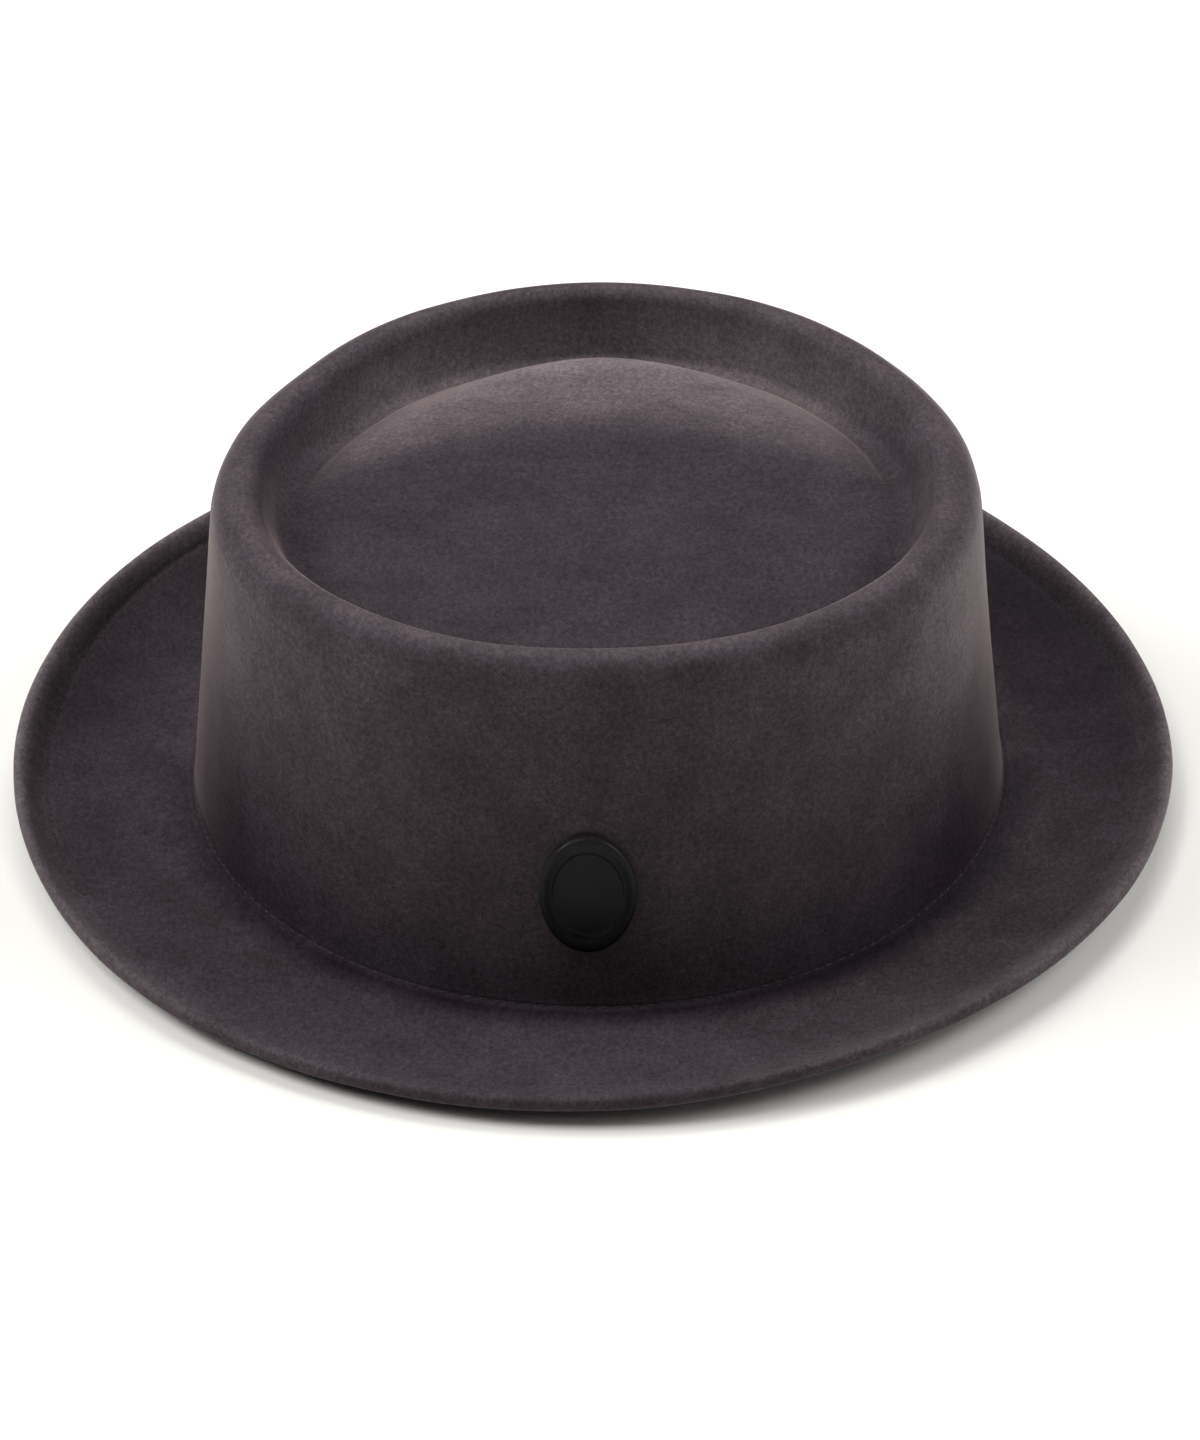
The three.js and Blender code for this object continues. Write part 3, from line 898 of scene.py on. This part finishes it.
def thread_finish(name, dark, pale):
    """Twisted thread: fine flecks between two colours"""
    material, nodes, links, shader = new_material(name)
    coords = nodes.new("ShaderNodeTexCoord")
    twist = noise(nodes, links, coords, 0.35, 2)
    colour = tinted(nodes, links, twist, dark, pale, 0.35, 0.65)
    links.new(colour, shader.inputs["Base Color"])
    roughen(nodes, links, shader, twist, 0.4, 0.08)
    shader.inputs["Roughness"].default_value = 0.6
    shader.inputs["Specular IOR Level"].default_value = 0.1
    return material


# %% The rows of stitches, in millimetres
SEAMS = {
    "foot_stitches": {"Pitch": 3.1, "Length": 2, "Thickness": 0.42},
    "edge_stitches": {"Pitch": 2.6, "Length": 1.8, "Thickness": 0.3},
    "band_stitches": {"Pitch": 3.4, "Length": 2.6, "Thickness": 0.5},
}
stitches = stitch_tree()
path_angles = np.linspace(0, 2 * math.pi, 720, endpoint=False)


def sewn(piece, name, rows, proud, unevenness, seed, thread):
    """A row of stitches on a piece, along points given in millimetres from the crown's middle"""
    hat_points = [Vector((x + AXIS[0], y + AXIS[1], z)) for x, y, z in rows]
    sizes = {label: size * MM for label, size in SEAMS[name].items()}
    return grown(path_on(piece, name, hat_points, proud), stitches, {
        **sizes, "Unevenness": unevenness, "Seed": seed, "Thread": thread})


# %% The two seams of the felt
seam_out = FOOT_FILLET * (np.sin(foot_tilt(path_angles)) - math.sin(SEAM_TILT))
seam_out += flare(path_angles) - FLARE
seam_z = FELT + FOOT_FILLET * (1 - math.cos(SEAM_TILT))
foot_seam = sewn(felt, "foot_stitches", place(path_angles, seam_out, seam_z), -0.05, 0.1, 4,
                 thread_finish("grey_thread", (0.022, 0.018, 0.0195), (0.05, 0.042, 0.045)))
crease_spots = brim_reach(path_angles) - roll_band(path_angles)
crease_rows = curl_rows(path_angles, crease_spots[None, :])[0]
edge_seam = sewn(felt, "edge_stitches", place(path_angles, *crease_rows.T[:2]), -0.12, 0.06, 9,
                 thread_finish("dark_thread", (0.003, 0.003, 0.003), (0.010, 0.009, 0.010)))
for seam in (foot_seam, edge_seam):
    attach(seam, "root")
    print(seam.name, triangles(seam), "triangles")

# %% [markdown]
# ## The sweatband
# A strip of leather lies inside the foot of the crown, sewn along its lower edge, with its ends
# lapped at the back. It could be a plain band, but its rolled edges and its lap show when the hat
# is turned over, so the section is rounded and its inner face steps up where the ends lap.

# %% Sizes of the sweatband, in millimetres
LEATHER = 1.2
GAP = 0.3
BAND_TOP = 32
BAND_FOOT_TILT = 45 * DEG
BAND_ABOVE_TABLE = 0.2
BAND_STATIONS = 300
LAP = 0.7
LAP_HALF_WIDTH = 9
LAP_EASE = 1.2
BACK_RADIUS = 75.6
BAND_SEAM_HEIGHT = 6.5


def ease(t):
    t = np.clip(t, 0, 1)
    return t * t * (3 - 2 * t)


def band_thickness(angle):
    """The strip's own thickness, and more at the back where its ends lap"""
    beside = np.abs(angle - math.pi) * BACK_RADIUS - LAP_HALF_WIDTH
    return LEATHER + LAP * (1 - ease(beside / LAP_EASE))


def band_rings(angle):
    """The band's section: its outer face, a round foot, its inner face and a round top"""
    face = np.concatenate([
        wall_rows(angle, np.full_like(angle, BAND_TOP - LEATHER / 2), 16),
        fillet_rows(angle, BAND_FOOT_TILT, 6),
    ])
    thick = band_thickness(angle)
    outer, inner = sunk(face, FELT + GAP), sunk(face, FELT + GAP + thick)
    ends = []
    for start, finish, turn in ((outer[-1], inner[-1], 1), (inner[0], outer[0], -1)):
        middle = (start + finish) / 2
        radius = (np.hypot(*(start - finish).T[:2]) / 2)[None, :]
        tilt = start[:, 2] + (0 if turn == 1 else math.pi)
        ends.append(arc(middle[:, 0], middle[:, 1], radius, tilt, tilt + math.pi, 6)[1:-1])
    rows = np.concatenate([outer, ends[0], inner[::-1], ends[1]])
    return place(angle, rows[..., 0], rows[..., 1])


band_angles = np.linspace(0, 2 * math.pi, BAND_STATIONS, endpoint=False)
band = skin("sweatband_leather", band_rings(band_angles))
to_frame(band)
kept_above(band, BAND_ABOVE_TABLE * MM)
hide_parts("sweatband")
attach(band, "root")

# %% Leather: small cells of grain with darker furrows between them
LEATHER_CELL = 1.1
FURROW_WIDTH = 0.18


def make_leather():
    material, nodes, links, shader = new_material("black_leather")
    coords = nodes.new("ShaderNodeTexCoord")
    mapping = nodes.new("ShaderNodeMapping")
    mapping.inputs["Scale"].default_value = [1 / (LEATHER_CELL * MM)] * 3
    cells = nodes.new("ShaderNodeTexVoronoi")
    cells.feature = "DISTANCE_TO_EDGE"
    cells.inputs["Scale"].default_value = 1
    links.new(coords.outputs["Object"], mapping.inputs["Vector"])
    links.new(mapping.outputs["Vector"], cells.inputs["Vector"])
    furrow = spread(nodes, links, cells.outputs["Distance"], 0, 1, 0, FURROW_WIDTH)
    colour = tinted(nodes, links, furrow, (0.006, 0.005, 0.005), (0.020, 0.016, 0.015))
    links.new(colour, shader.inputs["Base Color"])
    gloss = spread(nodes, links, noise(nodes, links, coords, 9, 2), 0.62, 0.42, 0, 1)
    links.new(gloss, shader.inputs["Roughness"])
    roughen(nodes, links, shader, furrow, 0.5, 0.15)
    return material


band.data.materials.append(make_leather())

# %% The seam of the sweatband
wall_at_seam = sunk(wall_row(path_angles, np.full_like(path_angles, BAND_SEAM_HEIGHT)),
                    FELT + GAP + LEATHER)
band_seam = sewn(band, "band_stitches", place(path_angles, *wall_at_seam.T[:2]), 0, 0.04, 2,
                 thread_finish("band_thread", (0.010, 0.009, 0.009), (0.03, 0.027, 0.026)))
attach(band_seam, "root")
print(band.name, triangles(band), band_seam.name, triangles(band_seam), "triangles")

# %% [markdown]
# ## The badge and its clutch
# A small badge sits low on the front of the crown. It is a plain oval of black enamel with a
# raised, finely milled border, bent to the crown. It could be cut from a flat plate, but then it
# would stand off the felt at its ends, so each of its rings is laid on the wall at its own place.

# %% Sizes of the badge, its post and its clutch, in millimetres
BADGE_WIDTH = 20
BADGE_HEIGHT = 25
BADGE_THICK = 2
BADGE_BEVEL = 0.8
BADGE_BORDER = 1.6
BADGE_RECESS = 0.5
BADGE_DOME = 0.4
BORDER_ROUND = 0.15
BADGE_MILLING = 0.07
MILLING_COUNT = 90
BACK_BEVEL = 0.15
POST_SHARE = 0.375
POST_RADIUS = 0.6
POST_SPARE = 0.8
CLUTCH_RADIUS = 4.5
CLUTCH_THICK = 1.8
CLUTCH_CLEAR = 1
CLUTCH_EDGE = 0.3
CLUTCH_BORE_GAP = 0.1
CLUTCH_FACE = (
    (3.3, 0), (3.15, 0.12), (3.0, 0.22), (2.2, 0.22), (2.05, 0.12), (1.9, 0), (1.5, 0),
    (1.42, 0.05), (1.4, 0.15))
POST_TIP = 0.5
POST_IN_BADGE = 0.2
POST_HEIGHT = BAND_TOP + CLUTCH_CLEAR + CLUTCH_RADIUS
CLUTCH_SEAT = FELT + GAP + CLUTCH_RADIUS ** 2 * FOOT_LENGTH / FOOT_WIDTH ** 2
CLUTCH_BACK = CLUTCH_SEAT + CLUTCH_THICK

# %% The badge's rings, laid on the crown
def badge_ring(inset, height, milling=0):
    turn = np.linspace(0, 2 * math.pi, MILLING_COUNT * 5, endpoint=False)
    part = 1 - inset / (BADGE_WIDTH / 2)
    angle = np.arcsin(BADGE_WIDTH * part * np.cos(turn) / FOOT_WIDTH)
    z = POST_HEIGHT - POST_SHARE * BADGE_HEIGHT + BADGE_HEIGHT / 2 * part * np.sin(turn)
    tall = height + milling * np.cos(MILLING_COUNT * turn)
    rows = sunk(wall_row(angle, z), -GAP - tall)
    return place(angle, rows[..., 0], rows[..., 1])


def badge_rings():
    """From the middle of the domed field over the border and the bevel to the flat back"""
    half = BADGE_WIDTH / 2
    field = BADGE_THICK - BADGE_RECESS
    foot = BADGE_BEVEL + BADGE_BORDER + BADGE_RECESS
    rounded = BADGE_RECESS * BORDER_ROUND
    rings = []
    for inset in np.linspace(half * 0.97, foot, 12):
        dome = BADGE_DOME * (1 - ((half - inset) / (half - foot)) ** 2)
        rings.append(badge_ring(inset, field + dome))
    for t in np.linspace(0, 1, 6)[1:]:
        climb = (BADGE_RECESS - rounded) * ease(t)
        rings.append(badge_ring(foot - BADGE_RECESS * t, field + climb))
    for t in np.linspace(0, 1, 9)[1:-1]:
        height = BADGE_THICK - rounded * (2 * t - 1) ** 2
        milling = BADGE_MILLING * math.sin(math.pi * t)
        rings.append(badge_ring(BADGE_BEVEL + BADGE_BORDER * (1 - t), height, milling))
    for swing in np.linspace(0, QUARTER, 7):
        height = BADGE_THICK - rounded - BADGE_BEVEL * (1 - math.cos(swing))
        rings.append(badge_ring(BADGE_BEVEL * (1 - math.sin(swing)), height))
    rings += [badge_ring(0, BACK_BEVEL), badge_ring(BACK_BEVEL, 0), badge_ring(half / 2, 0)]
    return np.array(rings)


# %% Round parts on the line of the post
def lathe(name, profile, sides=48):
    """A round piece from pairs of radius and depth under the crown's face, at the post's height"""
    wall = wall_row(np.zeros(1), np.full(1, POST_HEIGHT))

    def on_axis(depth):
        out, z, _ = sunk(wall, depth)[0]
        return place(0, out, z)

    axis = on_axis(1) - on_axis(0)
    side = np.array([1, 0, 0])
    up = np.cross(axis, side)
    turn = np.linspace(0, 2 * math.pi, sides, endpoint=False)[:, None]
    rim = np.cos(turn) * side + np.sin(turn) * up
    rings = np.array([on_axis(depth) + radius * rim for radius, depth in profile])
    ends = np.array([on_axis(profile[0][1]), on_axis(profile[-1][1])])
    return skin(name, rings, ends)


def quarter_turn(start, end, steps=5):
    """Pairs of cosine and sine from one angle to another"""
    return [(math.cos(a), math.sin(a)) for a in np.linspace(start, end, steps)]


def post_profile():
    """A straight pin from inside the badge to its rounded tip behind the clutch"""
    shoulder = CLUTCH_BACK + POST_SPARE - POST_TIP
    tip = [(POST_RADIUS * c, shoulder + POST_TIP * s) for c, s in quarter_turn(0, QUARTER * 0.9)]
    return [(POST_RADIUS, -GAP - POST_IN_BADGE), *tip]


def clutch_profile():
    """A turned disc with rounded rims, a shallow groove in its face and a small hub"""
    middle, bore = CLUTCH_RADIUS - CLUTCH_EDGE, POST_RADIUS + CLUTCH_BORE_GAP
    front, rear = CLUTCH_SEAT + CLUTCH_EDGE, CLUTCH_BACK - CLUTCH_EDGE
    rim = [(middle + CLUTCH_EDGE * c, front + CLUTCH_EDGE * s) for c, s in quarter_turn(-QUARTER, 0)]
    rim += [(middle + CLUTCH_EDGE * c, rear + CLUTCH_EDGE * s) for c, s in quarter_turn(0, QUARTER)]
    face = [(radius, CLUTCH_BACK - depth) for radius, depth in CLUTCH_FACE]
    hub = [(bore + 0.02, CLUTCH_BACK - CLUTCH_FACE[-1][1]), (bore, CLUTCH_SEAT + 0.1)]
    return [(bore, CLUTCH_SEAT), *rim, *face, *hub]


def joined(keep, other):
    """Two meshes in one piece"""
    both = bmesh.new()
    both.from_mesh(keep.data)
    both.from_mesh(other.data)
    both.to_mesh(keep.data)
    both.free()
    bpy.data.objects.remove(other)
    return keep


badge_points = badge_rings()
badge_poles = np.array([badge_points[0].mean(0), badge_points[-1].mean(0)])
badge = skin("badge_oval", badge_points, badge_poles)
badge = joined(badge, lathe("badge_post", post_profile(), 24))
clutch = lathe("clutch_disc", clutch_profile())
for piece, node, slot in ((badge, "pin_badge", "black_enamel"), (clutch, "pin_clutch", "clutch_steel")):
    to_frame(piece)
    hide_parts(node)
    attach(piece, "root")
    print(piece.name, triangles(piece), "triangles")

# %% Enamel: black with a dull gloss, painted reflection darker toward its foot, faint cloud, fine wear
ENAMEL_PAINTED_REFLECTION_SPAN = (-0.8, 0.1)


def make_enamel():
    material, nodes, links, shader = new_material("dull_black_enamel")
    coords = nodes.new("ShaderNodeTexCoord")
    split = nodes.new("ShaderNodeSeparateXYZ")
    links.new(coords.outputs["Object"], split.inputs["Vector"])
    # The colour is painted reflection, paler toward the top and darker toward the foot
    low, high = (POST_HEIGHT * MM + part * BADGE_HEIGHT * MM for part in ENAMEL_PAINTED_REFLECTION_SPAN)
    height = spread(nodes, links, split.outputs["Z"], 0, 1, low, high)
    clouds = spread(nodes, links, noise(nodes, links, coords, 3, 2), 0.85, 1.15)
    cloudy = times(nodes, links, height, clouds)
    colour = tinted(nodes, links, cloudy, (0.0015, 0.0015, 0.0016), (0.018, 0.017, 0.018))
    links.new(colour, shader.inputs["Base Color"])
    gloss = spread(nodes, links, noise(nodes, links, coords, 5), 0.28, 0.42, 0, 1)
    links.new(gloss, shader.inputs["Roughness"])
    roughen(nodes, links, shader, noise(nodes, links, coords, 0.8, 4), 0.15, 0.03)
    shader.inputs["Specular IOR Level"].default_value = 0.1
    return material


badge.data.materials.append(make_enamel())

# %% Steel: fine lines across the disc
def make_steel():
    material, nodes, links, shader = new_material("turned_steel")
    coords = nodes.new("ShaderNodeTexCoord")
    lines = noise(nodes, links, coords, 0.25, 3, (0.1, 1, 1))
    colour = tinted(nodes, links, lines, (0.42, 0.42, 0.41), (0.60, 0.60, 0.59))
    links.new(colour, shader.inputs["Base Color"])
    links.new(spread(nodes, links, lines, 0.24, 0.42, 0, 1), shader.inputs["Roughness"])
    roughen(nodes, links, shader, lines, 0.2, 0.03)
    shader.inputs["Metallic"].default_value = 1
    return material


clutch.data.materials.append(make_steel())

# %% [markdown]
# ## The table
# The hat stands on a pale table of a warm white, which fills the photograph's view. It could be
# endless, but the lamps stand round the hat, and far from them a table looks grey. So it ends at
# 1.3 m, and the white room shows beyond. Seen from low behind the hat and along a diagonal, its
# far corner is already grey before it ends.

# %% Table
TABLE_SIZE = 2.6
TABLE_COLOUR = (0.92, 0.91, 0.87, 1)


def table():
    mesh = bpy.data.meshes.new("table")
    half = TABLE_SIZE / 2
    corners = [(-half, -half, 0), (half, -half, 0), (half, half, 0), (-half, half, 0)]
    mesh.from_pydata(corners, [], [(0, 1, 2, 3)])
    piece = bpy.data.objects.new("table", mesh)
    bpy.context.scene.collection.objects.link(piece)
    material, _, _, shader = new_material("pale_table")
    shader.inputs["Base Color"].default_value = TABLE_COLOUR
    shader.inputs["Roughness"].default_value = 0.8
    mesh.materials.append(material)
    return piece


table()

# %% [markdown]
# ## The light
# Felt shows its nap when the light comes from behind and from the sides, and a dark hat needs much
# of it. Single lamps would give hard shadows, so large soft boxes stand round the hat, the strong
# ones behind and beside it. Little comes from the front, so the shadow under the brim stays dark.
# The room adds a faint light of its own, and looks white where it shows behind the table.

# %% The room
ROOM_LIGHT = 0.03
ROOM_SEEN = 1.2
world = bpy.data.worlds.new("bright_room")
world.use_nodes = True
bpy.context.scene.world = world
sky = world.node_tree.nodes["Background"]
seen = world.node_tree.nodes.new("ShaderNodeLightPath")
room = world.node_tree.nodes.new("ShaderNodeMapRange")
room.inputs["To Min"].default_value = ROOM_LIGHT
room.inputs["To Max"].default_value = ROOM_SEEN
sky.inputs["Color"].default_value = (1, 1, 1, 1)
world.node_tree.links.new(seen.outputs["Is Camera Ray"], room.inputs["Value"])
world.node_tree.links.new(room.outputs["Result"], sky.inputs["Strength"])

# %% The soft boxes: name, azimuth from the front, elevation, size in metres, strength
BOX_DISTANCE = 2.2
BOX_AIM_HEIGHT = 0.04
STUDIO = (
    ("back", 180, 56, (1.4, 0.6), 7.1),
    ("back_left", -110, 40, (1.3, 0.8), 1.7),
    ("back_left_low", -145, 20, (1.3, 0.8), 1.0),
    ("back_right", 110, 38, (1.3, 0.8), 2.0),
    ("back_right_low", 128, 18, (1.7, 0.8), 1.0),
    ("left", -93, 37, (1.3, 0.8), 9.3),
    ("left_high", -88, 65, (1.3, 0.8), 3.7),
    ("right", 93, 37, (1.3, 0.8), 6.2),
    ("right_low", 82, 15, (1.3, 0.8), 1.7),
    ("front_high", -15, 50, (1.4, 0.8), 0.5),
)


def toward(azimuth, elevation):
    """The direction from the hat to a place round it"""
    level = math.cos(elevation)
    return Vector((math.sin(azimuth) * level, -math.cos(azimuth) * level, math.sin(elevation)))


def softbox(name, azimuth, elevation, size, strength):
    """A rectangle of light that faces the hat"""
    back = toward(azimuth * DEG, elevation * DEG)
    lamp = bpy.data.lights.new(name, "AREA")
    lamp.shape = "RECTANGLE"
    lamp.size, lamp.size_y = size
    lamp.energy = strength * size[0] * size[1] * math.pi
    light = bpy.data.objects.new(name, lamp)
    light.location = Vector((0, 0, BOX_AIM_HEIGHT)) + BOX_DISTANCE * back
    light.rotation_euler = back.to_track_quat("Z", "Y").to_euler()
    bpy.context.scene.collection.objects.link(light)


for box in STUDIO:
    softbox(*box)
print(len(STUDIO), "soft boxes")
bpy.context.scene.view_settings.view_transform = "Standard"

# %% [markdown]
# ## Camera
# The camera looks down on the front of the hat. Its place comes from the outline of the hat in
# the photograph: the view's angles, its distance, and how far below the view's middle the hat is.

# %% Camera
PICTURE = (1200, 1440)
SENSOR_HEIGHT = 36
FOCAL_PIXELS = 4590
VIEW_DISTANCE = 1.0
VIEW_ELEVATION = 27.52 * DEG
VIEW_AZIMUTH = 1.2 * DEG
VIEW_ROLL = 0.34 * DEG
AIM_HEIGHT = 0.0424
AIM_PIXEL = (597, 594)


def add_camera():
    data = bpy.data.cameras.new("camera")
    data.sensor_fit = "VERTICAL"
    data.sensor_height = SENSOR_HEIGHT
    data.lens = SENSOR_HEIGHT * FOCAL_PIXELS / PICTURE[1]
    camera = bpy.data.objects.new("camera", data)
    back = toward(VIEW_AZIMUTH, VIEW_ELEVATION)
    camera.location = Vector((*(AXIS * MM), AIM_HEIGHT)) + VIEW_DISTANCE * back
    facing = back.to_track_quat("Z", "Y").to_matrix() @ Matrix.Rotation(-VIEW_ROLL, 3, "Z")
    drop = math.atan((PICTURE[1] / 2 - AIM_PIXEL[1]) / FOCAL_PIXELS)
    side = math.atan((PICTURE[0] / 2 - AIM_PIXEL[0]) / FOCAL_PIXELS)
    turned = facing @ Matrix.Rotation(-drop, 3, "X") @ Matrix.Rotation(-side, 3, "Y")
    camera.rotation_euler = turned.to_euler()
    bpy.context.scene.collection.objects.link(camera)
    bpy.context.scene.camera = camera


add_camera()
